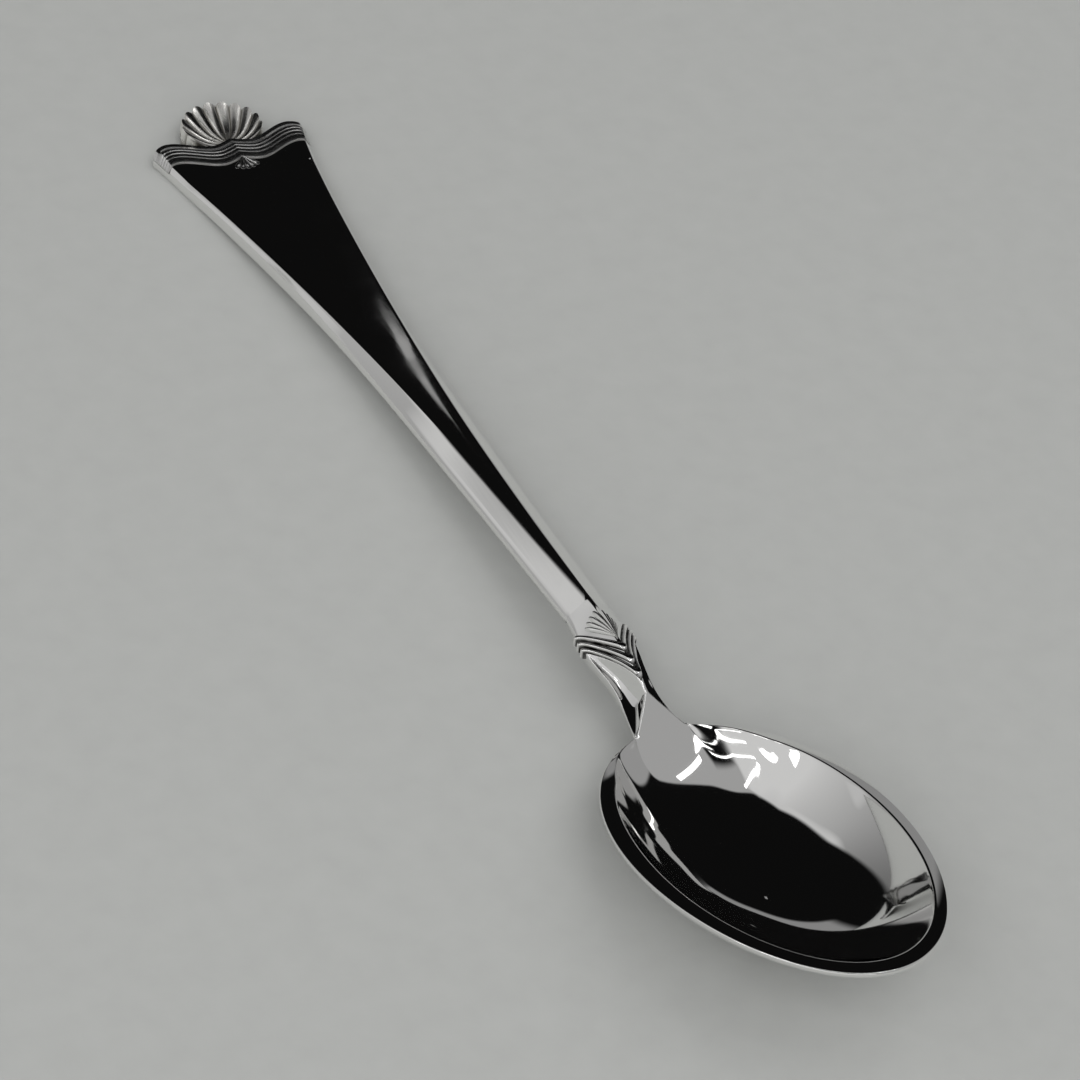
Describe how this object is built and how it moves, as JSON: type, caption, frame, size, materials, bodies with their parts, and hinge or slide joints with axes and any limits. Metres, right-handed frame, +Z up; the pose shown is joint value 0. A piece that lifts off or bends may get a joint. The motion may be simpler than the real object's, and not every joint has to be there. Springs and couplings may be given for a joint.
{
  "type": "coffee spoon",
  "caption": "Small polished silver coffee spoon with an oval bowl, a hollow-flanked neck with a reeded collar and palmette, and a flaring handle that ends in a scallop shell.",
  "frame": {"origin": "on the table under the middle of the spoon's length, on its line of symmetry", "axes": "+X from the shell end to the bowl tip, +Z up out of the bowl, the table at z = 0"},
  "size_m": [0.12, 0.0194, 0.0103],
  "materials": {
    "polished_silver": "polished silver, fine wear lines",
    "aged_silver": "silver with tarnish in the recesses"
  },
  "bodies": {
    "root": {"bowl": "polished_silver", "neck": "polished_silver", "collar": "aged_silver", "palmette": "aged_silver", "handle": "polished_silver", "end_moulding": "aged_silver", "pendant_leaf": "aged_silver", "shell_finial": "aged_silver"}
  },
  "joints": []
}
